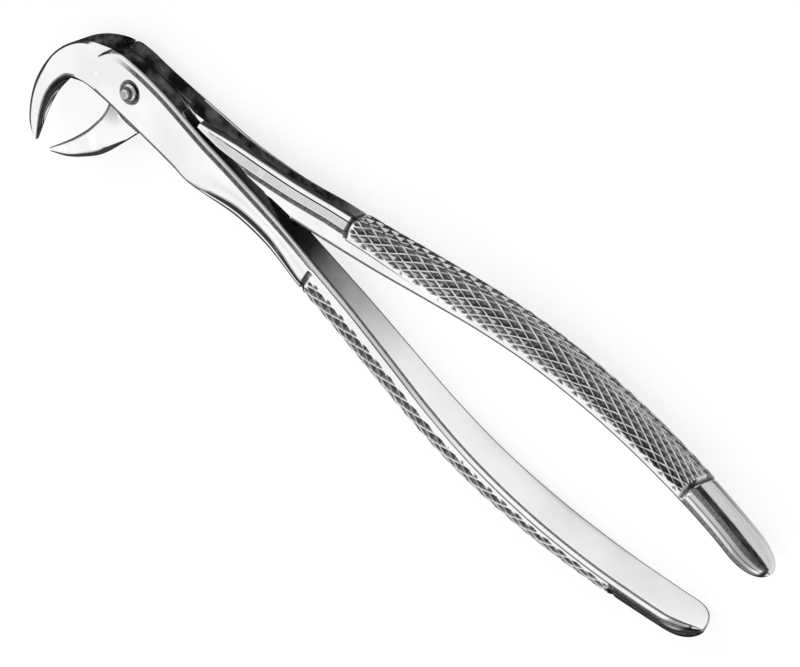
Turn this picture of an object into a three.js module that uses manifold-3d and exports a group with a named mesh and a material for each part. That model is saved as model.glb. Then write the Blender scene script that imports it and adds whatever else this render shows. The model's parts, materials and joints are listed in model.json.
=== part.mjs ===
// Lower extraction forceps, English pattern: two crossing steel forgings and the screw that hinges them.
// Millimetres. X runs from the beaks to the handle ends and Z is the hinge axis.
// The shapes are drawn with the hinge axis at x = y = 0 and the parting plane of the lap joint at z = 0,
// and the finished group is then moved so that its box stands on z = 0, centred on x = y = 0.
import * as THREE from 'three';
import Module from 'manifold-3d';

const wasm = await Module();
wasm.setup();

// Joint
const PLATE_FACE = 3.9; // from the parting plane to each outer face of the joint
const LAP_GAP = 0.15; // each lapped face stays this far from the parting plane
const LAP_END = 37.5; // where the shanks stop overlapping when the forceps are shut
const LAP_RADIUS = 8.05; // the recess that the other half's rounded joint end turns in
const LIP_START = { front: 10.5, rear: 6 }; // from here on, each shank wraps past the parting plane
const BEAK_RAMP = { low: 7.6, high: 11.5 }; // radii of the flared recess above the lower beak's root
const BORE_RADIUS = 1.85;
const SEAT_RADIUS = 1.65; // the tighter bore in the rear half that holds the screw
const SCREW = { stem: 1.5, barrel: 1.7, head: 1.65, stub: 0.95, headTop: 0.75, stubTop: 1.45, crown: 0.3 };

// Handles: the front one is the shorter
const GRIP = { thick: 6.2, narrow: 3.1 };
// thickness, half width and length of the rounding at the end of each handle
const GRIP_TAIL = { front: { thin: 3.9, wide: 5.3, round: 5.6 }, rear: { thin: 3.0, wide: 4.5, round: 7.0 } };
const GRIP_SECTIONS = 22;
const INNER_BEVEL = 0.5;

const SAMPLES_PER_STATION = 3;
const CORNER_STEPS = 4;
const REACH = 60; // longer than any cutter needs

// Stations of the front half from the beak tip to the grip: a is on the outer beak and upper joint edge,
// b is on the inner beak and lower joint edge, and h is half the width along the hinge axis.
// ca and cb are the corner rounding at a and b: across the section, then along the hinge axis.
const FRONT_STATIONS = [
  { a: [-15.9, -22.9], b: [-15.2, -22.7], h: 0.4, ca: [0.3, 0.3], cb: [0.1, 0.1] },
  { a: [-17.7, -20.8], b: [-15.5, -20.4], h: 0.85, ca: [0.9, 0.7], cb: [0.15, 0.15] },
  { a: [-18.9, -17.0], b: [-15.9, -17.0], h: 1.35, ca: [1.4, 1.1], cb: [0.2, 0.2] },
  { a: [-19.3, -13.0], b: [-15.9, -13.7], h: 1.75, ca: [1.6, 1.3], cb: [0.2, 0.2] },
  { a: [-18.8, -8.8], b: [-15.2, -10.6], h: 2.05, ca: [1.6, 1.5], cb: [0.2, 0.2] },
  { a: [-17.3, -4.5], b: [-14.2, -8.4], h: 2.4, ca: [1.4, 1.5], cb: [0.3, 0.3] },
  { a: [-15.0, -0.9], b: [-13.0, -7.0], h: 2.7, ca: [1.1, 1.2], cb: [0.3, 0.3] },
  { a: [-12.2, 1.7], b: [-11.4, -6.0], h: 3.0, ca: [0.8, 0.9], cb: [0.3, 0.3] },
  { a: [-8.8, 3.4], b: [-9.0, -5.0], h: 3.3, ca: [0.6, 0.6], cb: [0.3, 0.3] },
  { a: [-5.0, 4.3], b: [-5.0, -4.8], h: PLATE_FACE, ca: [0.5, 0.5], cb: [0.3, 0.3] },
  { a: [0.0, 4.4], b: [0.0, -5.0], h: PLATE_FACE, ca: [0.5, 0.5], cb: [0.3, 0.3] },
  { a: [6.0, 3.8], b: [6.0, -5.4], h: PLATE_FACE, ca: [0.5, 0.5], cb: [0.3, 0.3] },
  { a: [13.0, 2.6], b: [13.0, -5.85], h: PLATE_FACE, ca: [0.5, 0.5], cb: [0.3, 0.3] },
  { a: [20.0, 1.4], b: [19.6, -6.4], h: 3.7, ca: [0.5, 0.5], cb: [0.6, 0.6] },
  { a: [28.0, 0.0], b: [27.2, -6.2], h: 3.3, ca: [0.5, 0.5], cb: [1.2, 1.2] },
  { a: [36.0, -1.4], b: [34.9, -7.1], h: 3.1, ca: [0.5, 0.5], cb: [1.8, 1.8] },
];

// Stations of the rear half: a is on the beak's inner edge and the upper side of the joint,
// b is on the beak's outer edge and the lower side of the joint.
const REAR_STATIONS = [
  { a: [-12.2, -22.2], b: [-11.6, -22.7], h: 0.4, ca: [0.1, 0.1], cb: [0.3, 0.3] },
  { a: [-10.0, -19.3], b: [-8.2, -21.1], h: 0.9, ca: [0.15, 0.15], cb: [0.9, 0.7] },
  { a: [-7.9, -16.3], b: [-5.0, -18.7], h: 1.3, ca: [0.2, 0.2], cb: [1.3, 1.0] },
  { a: [-5.8, -12.6], b: [-2.3, -16.1], h: 1.7, ca: [0.2, 0.2], cb: [1.5, 1.3] },
  { a: [-4.7, -9.2], b: [-0.3, -12.9], h: 2.1, ca: [0.3, 0.3], cb: [1.6, 1.5] },
  { a: [-5.2, -6.3], b: [1.4, -9.8], h: 2.6, ca: [0.3, 0.3], cb: [1.5, 1.5] },
  { a: [-7.0, -3.4], b: [2.5, -7.7], h: 3.1, ca: [0.3, 0.3], cb: [1.2, 1.2] },
  { a: [-7.8, 0.2], b: [3.7, -6.3], h: 3.6, ca: [0.3, 0.3], cb: [0.7, 0.7] },
  { a: [-7.0, 3.3], b: [5.2, -5.2], h: PLATE_FACE, ca: [0.4, 0.4], cb: [0.3, 0.3] },
  { a: [-4.4, 3.8], b: [7.0, -4.5], h: PLATE_FACE, ca: [0.6, 0.7], cb: [0.3, 0.3] },
  { a: [0.0, 3.5], b: [9.2, -3.9], h: PLATE_FACE, ca: [0.9, 1.2], cb: [0.3, 0.3] },
  { a: [6.0, 3.5], b: [12.5, -3.1], h: PLATE_FACE, ca: [1.5, 2.2], cb: [0.3, 0.3] },
  { a: [13.0, 4.2], b: [17.0, -2.5], h: 3.8, ca: [1.9, 2.6], cb: [0.4, 0.4] },
  { a: [22.0, 5.2], b: [24.0, -1.2], h: 3.5, ca: [2.1, 2.4], cb: [0.5, 0.5] },
  { a: [34.4, 6.6], b: [36.0, 0.8], h: 3.1, ca: [2.2, 2.1], cb: [0.5, 0.5] },
];

// The inner face of a handle, as distance along X and out from the middle of the forceps.
const GRIP_INNER = {
  front: [[44.4, 2.9], [55, 4.8], [66, 7.1], [77, 9.4], [89, 11.1], [103, 11.7], [117, 11.1], [129, 9.8], [139.3, 8.3]],
  rear: [[44.4, 2.2], [56, 4.3], [68, 6.9], [80, 9.4], [93, 11.2], [108, 11.8], [123, 11.0], [136, 9.2], [146.8, 6.6]],
};

function toManifold(geometry) {
  geometry.deleteAttribute('normal');
  geometry.deleteAttribute('uv');
  const merged = mergeByPosition(geometry);
  const mesh = new wasm.Mesh({ numProp: 3, vertProperties: merged.vertices, triVerts: merged.triangles });
  return new wasm.Manifold(mesh);
}

function mergeByPosition(geometry) {
  const position = geometry.attributes.position;
  const order = geometry.index ? geometry.index.array : [...Array(position.count).keys()];
  const seen = new Map();
  const vertices = [];
  const triangles = [];
  for (const corner of order) {
    const point = [position.getX(corner), position.getY(corner), position.getZ(corner)];
    const key = point.map((value) => Math.round(value * 1e5)).join();
    if (!seen.has(key)) {
      seen.set(key, vertices.length / 3);
      vertices.push(...point);
    }
    triangles.push(seen.get(key));
  }
  const kept = [];
  for (let i = 0; i < triangles.length; i += 3) {
    const [p, q, r] = triangles.slice(i, i + 3);
    if (p !== q && q !== r && r !== p) kept.push(p, q, r);
  }
  return { vertices: new Float32Array(vertices), triangles: new Uint32Array(kept) };
}

function toGeometry(manifold) {
  const mesh = manifold.getMesh();
  const geometry = new THREE.BufferGeometry();
  geometry.setAttribute('position', new THREE.BufferAttribute(new Float32Array(mesh.vertProperties), 3));
  geometry.setIndex(new THREE.BufferAttribute(new Uint32Array(mesh.triVerts), 1));
  geometry.computeVertexNormals();
  return geometry;
}

const lerp = THREE.MathUtils.lerp;

function blendCorner(before, after, t) {
  return [lerp(before[0], after[0], t), lerp(before[1], after[1], t)];
}

// Smooth stations between the given ones.
function refine(stations) {
  const railA = new THREE.CatmullRomCurve3(stations.map((s) => new THREE.Vector3(s.a[0], s.a[1], s.h)));
  const railB = new THREE.CatmullRomCurve3(stations.map((s) => new THREE.Vector3(s.b[0], s.b[1], 0)));
  const spans = stations.length - 1;
  const count = spans * SAMPLES_PER_STATION;
  const refined = [];
  for (let i = 0; i < count; i += 1) {
    const span = Math.floor(i / SAMPLES_PER_STATION);
    const t = i / SAMPLES_PER_STATION - span;
    const pointA = railA.getPoint(i / count);
    const pointB = railB.getPoint(i / count);
    refined.push({
      a: [pointA.x, pointA.y],
      b: [pointB.x, pointB.y],
      h: Math.min(pointA.z, PLATE_FACE),
      ca: blendCorner(stations[span].ca, stations[span + 1].ca, t),
      cb: blendCorner(stations[span].cb, stations[span + 1].cb, t),
    });
  }
  return refined;
}

// Stations of a grip. side is -1 for the front half's handle and 1 for the rear half's.
function gripStations(side, innerLine, tail) {
  const inner = new THREE.CatmullRomCurve3(innerLine.map(([x, y]) => new THREE.Vector3(x, y * side, 0)));
  const length = inner.getLength();
  const stations = [];
  for (let i = 0; i <= GRIP_SECTIONS; i += 1) {
    const u = Math.sin((Math.PI / 2) * (i / GRIP_SECTIONS)) ** 1.3;
    const point = inner.getPointAt(u);
    const tangent = inner.getTangentAt(u);
    const toEnd = (1 - u) * length;
    const rounding = toEnd < tail.round ? Math.sqrt(1 - (1 - toEnd / tail.round) ** 2) : 1;
    const thickness = lerp(GRIP.thick, tail.thin, THREE.MathUtils.smoothstep(u, 0.1, 1)) * lerp(0.6, 1, rounding);
    const half = lerp(GRIP.narrow, tail.wide, THREE.MathUtils.smoothstep(u, -0.1, 0.85)) * lerp(0.22, 1, rounding);
    const lift = (lerp(0.3, 0, rounding) * thickness) / 2;
    const outward = [-tangent.y * side, tangent.x * side];
    const innerPoint = [point.x + outward[0] * lift, point.y + outward[1] * lift];
    const outerPoint = [innerPoint[0] + outward[0] * thickness, innerPoint[1] + outward[1] * thickness];
    const crown = [thickness * lerp(0.35, 0.75, u), half * lerp(0.6, 0.92, u)];
    const bevel = [INNER_BEVEL * rounding + 0.05, INNER_BEVEL * rounding + 0.05];
    if (side < 0) stations.push({ a: innerPoint, b: outerPoint, h: half, ca: bevel, cb: crown });
    else stations.push({ a: outerPoint, b: innerPoint, h: half, ca: crown, cb: bevel });
  }
  return stations;
}

// The points of one section: a rectangle from a to b and from -h to h with elliptic corners.
function sectionRing(station) {
  const a = new THREE.Vector2(...station.a);
  const b = new THREE.Vector2(...station.b);
  const middle = a.clone().add(b).multiplyScalar(0.5);
  const across = a.clone().sub(b);
  const half = across.length() / 2;
  across.normalize();
  const ring = [];
  const corners = [
    { sideA: 1, up: 1, round: station.ca, falling: false },
    { sideA: -1, up: 1, round: station.cb, falling: true },
    { sideA: -1, up: -1, round: station.cb, falling: false },
    { sideA: 1, up: -1, round: station.ca, falling: true },
  ];
  for (const corner of corners) {
    const width = Math.min(corner.round[0], half * 1.9);
    const height = Math.min(corner.round[1], station.h * 0.98);
    for (let k = 0; k <= CORNER_STEPS; k += 1) {
      const step = corner.falling ? CORNER_STEPS - k : k;
      const angle = ((Math.PI / 2) * step) / CORNER_STEPS;
      const along = corner.sideA * (half - width + width * Math.cos(angle));
      const z = corner.up * (station.h - height + height * Math.sin(angle));
      ring.push(new THREE.Vector3(middle.x + across.x * along, middle.y + across.y * along, z));
    }
  }
  return ring;
}

// A closed solid through the sections of the stations.
function loft(stations) {
  const rings = stations.map(sectionRing);
  const size = rings[0].length;
  const positions = [];
  for (const ring of rings) {
    for (const point of ring) positions.push(point.x, point.y, point.z);
  }
  const index = [];
  for (let i = 0; i < rings.length - 1; i += 1) {
    for (let k = 0; k < size; k += 1) {
      const next = (k + 1) % size;
      const p = i * size + k;
      const q = i * size + next;
      index.push(p, q, p + size, q, q + size, p + size);
    }
  }
  closeEnd(positions, index, rings[0], 0, false);
  closeEnd(positions, index, rings[rings.length - 1], (rings.length - 1) * size, true);
  const geometry = new THREE.BufferGeometry();
  geometry.setAttribute('position', new THREE.Float32BufferAttribute(positions, 3));
  geometry.setIndex(index);
  return toManifold(geometry);
}

function closeEnd(positions, index, ring, first, atEnd) {
  const centre = ring.reduce((sum, point) => sum.add(point), new THREE.Vector3()).divideScalar(ring.length);
  const hub = positions.length / 3;
  positions.push(centre.x, centre.y, centre.z);
  for (let k = 0; k < ring.length; k += 1) {
    const next = (k + 1) % ring.length;
    if (atEnd) index.push(first + k, first + next, hub);
    else index.push(first + next, first + k, hub);
  }
}

// The lap recess seen along the hinge axis, for the half whose handle is on the given side.
function lapShape(side, lipStart) {
  const shape = new THREE.Shape();
  shape.moveTo(0, -side * LAP_RADIUS);
  shape.absarc(0, 0, LAP_RADIUS, -side * (Math.PI / 2), side * (Math.PI / 2), side > 0);
  shape.lineTo(lipStart, side * LAP_RADIUS);
  shape.lineTo(lipStart + 1, side * 4.8);
  shape.lineTo(20, side * 3.8);
  shape.lineTo(LAP_END, side * 1.7);
  shape.lineTo(LAP_END, -side * LAP_RADIUS);
  shape.closePath();
  return shape;
}

function extruded(shape, low, high) {
  const geometry = new THREE.ExtrudeGeometry(shape, { depth: high - low, bevelEnabled: false, curveSegments: 20 });
  geometry.translate(0, 0, low);
  return toManifold(geometry);
}

function turned(profile, segments) {
  const geometry = new THREE.LatheGeometry(profile.map(([r, z]) => new THREE.Vector2(r, z)), segments);
  geometry.rotateX(Math.PI / 2);
  return geometry;
}

function bore(radius) {
  const geometry = new THREE.CylinderGeometry(radius, radius, 2 * REACH, 40);
  geometry.rotateX(Math.PI / 2);
  return toManifold(geometry);
}

function frontHalf() {
  const body = loft([...refine(FRONT_STATIONS), ...gripStations(-1, GRIP_INNER.front, GRIP_TAIL.front)]);
  const recess = extruded(lapShape(-1, LIP_START.front), -REACH, LAP_GAP);
  return toGeometry(body.subtract(recess).subtract(bore(BORE_RADIUS)));
}

function rearHalf() {
  const body = loft([...refine(REAR_STATIONS), ...gripStations(1, GRIP_INNER.rear, GRIP_TAIL.rear)]);
  const recess = extruded(lapShape(1, LIP_START.rear), -LAP_GAP, REACH);
  const flare = turned(
    [
      [0, -LAP_GAP],
      [BEAK_RAMP.low, -LAP_GAP],
      [BEAK_RAMP.high, PLATE_FACE],
      [BEAK_RAMP.high, REACH],
      [0, REACH],
    ],
    64,
  );
  return toGeometry(body.subtract(recess).subtract(toManifold(flare)).subtract(bore(SEAT_RADIUS)));
}

function pivotScrew() {
  const top = PLATE_FACE + SCREW.headTop;
  const stubTop = PLATE_FACE + SCREW.stubTop;
  return turned(
    [
      [0, -PLATE_FACE],
      [SCREW.stem, -PLATE_FACE],
      [SCREW.stem, -LAP_GAP],
      [SCREW.barrel, -LAP_GAP],
      [SCREW.barrel, PLATE_FACE],
      [SCREW.head, top - SCREW.crown],
      [SCREW.head - SCREW.crown, top],
      [SCREW.stub, top],
      [SCREW.stub, stubTop],
      [0, stubTop],
    ],
    40,
  );
}

function polishedSteel() {
  return new THREE.MeshStandardMaterial({ color: 0xdcdde0, roughness: 0.12, metalness: 1 });
}

function screwSteel() {
  return new THREE.MeshStandardMaterial({ color: 0xc4c6c9, roughness: 0.22, metalness: 1 });
}

function named(name, geometry, material) {
  const mesh = new THREE.Mesh(geometry, material);
  mesh.name = name;
  return mesh;
}

const forceps = new THREE.Group();
forceps.add(named('front_half', frontHalf(), polishedSteel()));
forceps.add(named('rear_half', rearHalf(), polishedSteel()));
forceps.add(named('pivot_screw', pivotScrew(), screwSteel()));

const box = new THREE.Box3().setFromObject(forceps);
const centre = box.getCenter(new THREE.Vector3());
for (const piece of forceps.children) piece.position.set(-centre.x, -centre.y, -box.min.z);

export default forceps;
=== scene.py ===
"""Lower extraction forceps in polished steel, for Blender 4.5.

Two crossing forgings with hooked beaks, a lap joint and diamond-cut handles, and the screw that hinges them.
The shapes are drawn in millimetres round the hinge, with the parting plane of the lap joint at z = 0.
They then go into the frame in metres, at the hinge's place.
"""

import json
import math

import bpy
import numpy as np
from mathutils import Matrix, Vector


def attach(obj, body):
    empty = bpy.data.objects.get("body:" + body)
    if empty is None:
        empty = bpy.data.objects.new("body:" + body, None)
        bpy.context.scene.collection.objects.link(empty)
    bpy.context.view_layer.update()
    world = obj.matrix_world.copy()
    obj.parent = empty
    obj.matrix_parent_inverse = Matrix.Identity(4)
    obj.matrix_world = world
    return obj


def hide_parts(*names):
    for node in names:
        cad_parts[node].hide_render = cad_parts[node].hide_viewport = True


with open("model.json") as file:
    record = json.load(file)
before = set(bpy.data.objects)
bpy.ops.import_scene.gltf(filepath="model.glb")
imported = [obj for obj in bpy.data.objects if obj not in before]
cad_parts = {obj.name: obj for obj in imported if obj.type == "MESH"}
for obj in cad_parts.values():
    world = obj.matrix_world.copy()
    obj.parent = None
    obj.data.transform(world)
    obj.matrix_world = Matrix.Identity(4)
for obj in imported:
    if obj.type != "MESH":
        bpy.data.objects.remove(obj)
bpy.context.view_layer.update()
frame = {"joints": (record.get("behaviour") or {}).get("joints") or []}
HINGE = Vector(frame["joints"][0]["pos_m"])
MM = 0.001

# Joint, in millimetres
PLATE_FACE = 3.9  # from the parting plane to each outer face of the joint
LAP_GAP = 0.08  # each lapped face stays this far from the parting plane
LAP_END = 37.5  # where the shanks stop overlapping
LAP_RADIUS = 8.05
LIP_START = {"front": 10.5, "rear": 6.0}
LIP_LINE = {  # the lip's inner wall, out from the middle
    "front": [(11.5, 4.8), (20.0, 3.8), (LAP_END, 1.7)],
    "rear": [
        (7.0, 4.5), (8.6, 4.2), (10.0, 4.05), (13.0, 3.75), (20.0, 3.08), (28.0, 2.33), (LAP_END, 1.6)
    ],
}
LIP_RAMP = (4.0, 13.0)  # the rear lip rises out of the lapped face between these x
LIP_RAMP_TOP = PLATE_FACE + 0.6
FLARE = (7.6, 14.0)  # radii of the hollow that leads from the lower beak's flank down under the joint plate
FLARE_RISE = 2.12
BOSS_RADIUS = 7.4  # the round joint plate that stands a little proud of the beak's flank
BOSS_STEP = 0.05
# The relief at the front plate's upper corner. It ends at the second angle and radius with no depth.
NOTCH = {"angles": (126.0, 173.0), "radii": (5.8, 8.5), "depth": 1.5, "slope": 0.85}
FRONT_BORE = 1.74
REAR_BORE = 1.52
SEAT = {"depth": 0.1, "foot": 2.05, "rim": 2.3, "dark": 2.1}  # the shallow ring round the screw's head; painted shade reaches out to its dark radius
CUTTER_REACH = 60.0  # cutters go this far past the steel
SEGMENTS = 96  # round the bores and the screw
SHARP_ANGLE = 24

# Handles: the inner face's line, the thickness and half width at the end, the length of the rounded end, and
# where the knurling starts and ends along the inner line
GRIP = {
    "front": {
        "side": -1,
        "inner": [
            (44.4, 2.9), (55, 4.8), (66, 7.1), (77, 9.4), (89, 11.1),
            (103, 11.7), (117, 11.1), (129, 9.8), (139.3, 8.3),
        ],
        "thin": 3.9,
        "wide": 5.3,
        "round": 5.6,
        "knurl": (1.9, 79.0),
    },
    "rear": {
        "side": 1,
        "inner": [
            (44.4, 2.2), (56, 4.3), (68, 6.9), (80, 9.4), (93, 11.2),
            (108, 11.8), (123, 11.0), (136, 9.2), (146.8, 6.6),
        ],
        "thin": 3.0,
        "wide": 4.5,
        "round": 7.0,
        "knurl": (5.6, 84.0),
    },
}
GRIP_THICK = 6.2  # at the start of a grip
GRIP_NARROW = 3.1  # half width at the start of a grip
INSIDE_CAD = 0.03  # a grip is this much thinner than its CAD solid, to stay inside its box
INNER_BEVEL = {-1: 0.65, 1: 0.4}  # chamfer of a grip's inner edges, by the handle's side
END_ROUND = (3.2, 2.6)  # powers of the rounded end, seen along the hinge axis

# Diamond cut
CELL = 12  # mesh steps in one diamond, both ways
PITCH = 3.5  # length of a diamond
PIT_DEPTH = 0.52
RIDGE = 1 / 12  # share of the pitch that stays flat on each side of a ridge line
PIT_CURVE = 1.5
MARGIN = {"front": (1.5, 0.35), "rear": (2.1, 0.35)}  # smooth strip beside the inner edge, first and last
MARGIN_RUN = {"front": 75.0, "rear": 30.0}  # length over which the strip narrows
RUN_OUT = {"front": 0.5, "rear": 0.9}  # width over which the pits fade out beside the strip
BRIGHT_SHARE = {"front": 0.75, "rear": 0.3}  # how much painted shade each pit's bright facet keeps
# PIT_DARKNESS: how fast the painted shade in a pit grows with its depth.
PIT_DARKNESS = 3.0
CUT_ENDS = 0.5  # length over which the pits fade out at both ends of the knurling
KNURL_REACH = (-1.3, 1.5)  # the grooves at its ends stay this near to the knurling
START_GROOVE = (-1.25, -0.95, -0.05)  # start, bottom and end of the groove, from the knurling's start
START_GROOVE_DEPTH = 0.34
END_GROOVE = (-0.1, 0.35, 0.95)  # the same from the knurling's end
END_GROOVE_DEPTH = 0.36
GROOVE_SHADE = 1.6
STEP_DOWN = 0.16  # the knurled part starts this much below the smooth strip

# Points on half a section, from the middle of the inner side to the middle of the outer side
N_WALL = 6
N_BEVEL = 6
N_TOP = 28
N_CORNER = 24
N_SIDE = 8
N_OUT = N_TOP + N_CORNER + N_SIDE
N_HALF = N_WALL + N_BEVEL + N_OUT
GROOVE_POINTS = 8  # of the top, next to the corner
GROOVE_WIDTH = 1.1
EDGE_LINE = 0.22  # width of the painted dark line, painted shade, along a chamfer
LINE_END = 1.45  # the next point after that line, as a share of its width

# Places counted from the middle of the outer side
CREASE = N_SIDE + 14  # the crease between the rear shank's bead and facet
RIB_EDGE = N_SIDE + N_CORNER
CROWN_SHADE = slice(14, 21)  # the painted dark line, painted shade, along the front shank's lower edge
RIDGE_LINE = 24  # the ridge on a handle end

# Where a feature comes in (none at the first x, all of it at the second one)
CHAMFER_IN = (-19, -14)
PLATE_LINE_IN = (-6, 0)
SLOT_IN = (8, 15)
RIB_IN = (15, 24)
RIB_GROOVE_IN = (16, 25)
CROWN_IN = (17.5, 22)
FRONT_CREASE_IN = (19, 24)
WALL_LINE_IN = (30, 38)
# Where a feature goes out (all of it at the first x, none at the second one)
BEAK_SQUEEZE_OUT = (-13, -8)
CORNER_SHADE_OUT = (17, 21)
SLOT_OUT = (38, 44)
# The same along the grip, from the start or the end of the knurling
BEFORE_KNURL = (-1.2, -0.35)
AFTER_KNURL = (0.5, 1.2)
TAIL_IN = (0.5, 1.3)
PLATE_LINE_OUT = (-6, 2)  # from the start of the grip

BEAK_HOLLOW = {"depth": 0.55, "in": (0.5, 6), "out": (12.5, 16.5), "width": 0.82}  # from the tip
BEAK_SQUEEZE = 0.2  # the front beak's back side is this much shallower

# Stations from the beak tip to the grip: inner x, y and outer x, y (on the handle's inner and outer side),
# half width along the hinge axis, and the corner rounding of the inner and the outer side.
FRONT_STATIONS = [
    (-15.9, -22.9, -15.2, -22.7, 0.4, 0.3, 0.3, 0.1, 0.1),
    (-17.7, -20.8, -15.5, -20.4, 0.85, 0.7, 0.55, 0.2, 0.2),
    (-18.9, -17.0, -15.9, -17.0, 1.45, 0.9, 0.8, 0.3, 0.3),
    (-19.28, -13.0, -15.9, -13.7, 2.0, 1.0, 0.9, 0.35, 0.35),
    (-18.8, -8.8, -15.2, -10.6, 2.55, 1.0, 1.0, 0.4, 0.4),
    (-17.3, -4.5, -14.2, -8.4, 2.95, 0.6, 0.7, 0.5, 0.5),
    (-15.0, -0.9, -13.0, -7.0, 3.25, 0.45, 0.55, 0.9, 0.7),
    (-12.2, 1.7, -11.4, -6.0, 3.55, 0.4, 0.45, 1.0, 0.7),
    (-8.8, 3.4, -9.0, -5.0, 3.84, 0.7, 0.5, 1.0, 0.7),
    (-5.0, 4.3, -5.0, -4.8, 3.9, 0.9, 0.7, 0.7, 0.6),
    (0.0, 4.4, 0.0, -5.0, 3.9, 0.9, 0.8, 0.6, 0.5),
    (6.0, 3.8, 6.0, -5.4, 3.9, 0.8, 0.9, 0.6, 0.5),
    (13.0, 2.6, 13.0, -6.0, 3.9, 0.8, 0.9, 0.6, 0.5),
    (17.2, 1.85, 17.0, -6.5, 3.84, 0.8, 0.9, 0.5, 0.5),
    (21.3, 1.2, 20.9, -6.45, 3.65, 0.8, 0.9, 1.4, 0.8),
    (28.0, 0.0, 27.2, -6.4, 3.3, 0.8, 0.9, 2.6, 1.7),
    (36.0, -1.4, 34.9, -7.1, 3.1, 0.7, 0.8, 2.8, 1.9),
]
REAR_STATIONS = [
    (-11.6, -22.7, -12.2, -22.2, 0.4, 0.3, 0.3, 0.1, 0.1),
    (-8.2, -21.1, -10.0, -19.3, 0.9, 0.9, 0.7, 0.25, 0.25),
    (-5.0, -18.7, -7.9, -16.3, 1.3, 1.5, 1.0, 0.35, 0.35),
    (-2.3, -16.1, -5.8, -12.6, 1.7, 1.9, 1.3, 0.4, 0.4),
    (-0.3, -12.9, -4.7, -9.2, 2.1, 2.1, 1.6, 0.4, 0.4),
    (1.4, -9.8, -5.2, -6.3, 2.6, 2.1, 1.8, 0.35, 0.35),
    (2.5, -7.7, -7.0, -3.4, 3.1, 1.9, 1.8, 0.3, 0.3),
    (3.7, -6.3, -7.8, 0.2, 3.6, 0.7, 0.7, 0.3, 0.3),
    (5.2, -5.2, -7.0, 3.65, 3.9, 0.3, 0.3, 0.4, 0.4),
    (7.0, -4.5, -4.4, 4.3, 3.9, 0.3, 0.3, 0.6, 0.7),
    (9.2, -3.9, 0.0, 4.25, 3.9, 0.3, 0.3, 0.9, 1.2),
    (12.5, -3.1, 6.0, 4.0, 3.9, 0.3, 0.3, 0.7, 0.9),
    (17.0, -2.5, 13.0, 4.3, 3.8, 0.4, 0.4, 1.2, 1.6),
    (24.0, -1.2, 22.0, 5.2, 3.5, 0.5, 0.5, 2.1, 2.4),
    (36.0, 0.8, 34.4, 6.6, 3.1, 0.5, 0.5, 2.2, 2.1),
]
SECTION_STEP = 0.42  # along the beaks, joint and shanks


def smooth(x, low, high):
    """0 below low, 1 above high, and a smooth step between them."""
    t = np.clip((np.asarray(x, float) - low) / (high - low), 0, 1)
    return t * t * (3 - 2 * t)


def rise(x, places):
    """0 before the first place, 1 after the second one."""
    return float(smooth(x, *places))


def fall(x, places):
    """1 before the first place, 0 after the second one."""
    return 1 - float(smooth(x, *places))


def lerp(a, b, t):
    return a + (b - a) * t


def arc_length(points):
    """The length along the points, from the first one to each."""
    return np.concatenate([[0], np.cumsum(np.linalg.norm(np.diff(points, axis=0), axis=1))])


# Curves


def catmull(points, knots, at):
    """Non-uniform Catmull-Rom curve through the points, at the given knot values."""
    points = np.asarray(points, float)
    first = 2 * points[0] - points[1]
    last = 2 * points[-1] - points[-2]
    p = np.vstack([first, points, last])
    k = np.concatenate([[2 * knots[0] - knots[1]], knots, [2 * knots[-1] - knots[-2]]])
    out = []
    for t in at:
        i = int(np.clip(np.searchsorted(k, t, side="right") - 1, 1, len(k) - 3))
        d0, d1, d2 = k[i] - k[i - 1], k[i + 1] - k[i], k[i + 2] - k[i + 1]
        w = (t - k[i]) / d1
        m1 = ((p[i] - p[i - 1]) / d0 - (p[i + 1] - p[i - 1]) / (d0 + d1) + (p[i + 1] - p[i]) / d1) * d1
        m2 = ((p[i + 1] - p[i]) / d1 - (p[i + 2] - p[i]) / (d1 + d2) + (p[i + 2] - p[i + 1]) / d2) * d1
        a = 2 * p[i] - 2 * p[i + 1] + m1 + m2
        b = -3 * p[i] + 3 * p[i + 1] - 2 * m1 - m2
        out.append(((a * w + b) * w + m1) * w + p[i])
    return np.array(out)


def centripetal_knots(points):
    steps = np.linalg.norm(np.diff(np.asarray(points, float), axis=0), axis=1) ** 0.5
    return np.concatenate([[0], np.cumsum(steps)])


class InnerLine:
    """The inner face of a handle, seen along the hinge axis."""

    SAMPLES = 1600

    def __init__(self, points, side):
        control = [(x, y * side) for x, y in points]
        knots = centripetal_knots(control)
        fine = np.linspace(0, knots[-1], self.SAMPLES)
        self.points = catmull(control, knots, fine)
        self.arc = arc_length(self.points)
        self.length = self.arc[-1]

    def point(self, s):
        return np.array([np.interp(s, self.arc, self.points[:, i]) for i in (0, 1)])

    def at(self, s):
        """The point and the direction at s along the line."""
        tangent = self.point(s + 0.05) - self.point(s - 0.05)
        return self.point(s), tangent / np.linalg.norm(tangent)


def grip_station(grip, line, s):
    """The section of a grip at s along its inner line, in the layout of the station lists."""
    side = grip["side"]
    u = s / line.length
    point, tangent = line.at(s)
    to_end = (line.length - s) / grip["round"]
    inset = 1 - min(to_end, 1.0)
    thick_round = (1 - inset ** END_ROUND[0]) ** (1 / END_ROUND[1])
    half_round = (1 - inset**2.0) ** 0.5
    thickness = lerp(GRIP_THICK, grip["thin"], float(smooth(u, 0.1, 1))) - INSIDE_CAD
    lift = 0.5 * thickness * (1 - thick_round) * 0.9
    half = lerp(GRIP_NARROW, grip["wide"], float(smooth(u, -0.1, 0.85))) * max(half_round, 0.02)
    thickness *= max(thick_round, 0.05)
    outward = np.array([-tangent[1], tangent[0]]) * side
    inner = point + outward * lift
    outer = inner + outward * thickness
    crown = (thickness * lerp(0.35, 0.75, u), half * lerp(0.6, 0.92, u))
    bevel = INNER_BEVEL[side] * half_round + 0.03
    return np.array([*inner, *outer, half, bevel, bevel, *crown])


# Sections


def quarter(n):
    return np.linspace(0, math.pi / 2, n + 1)


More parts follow.
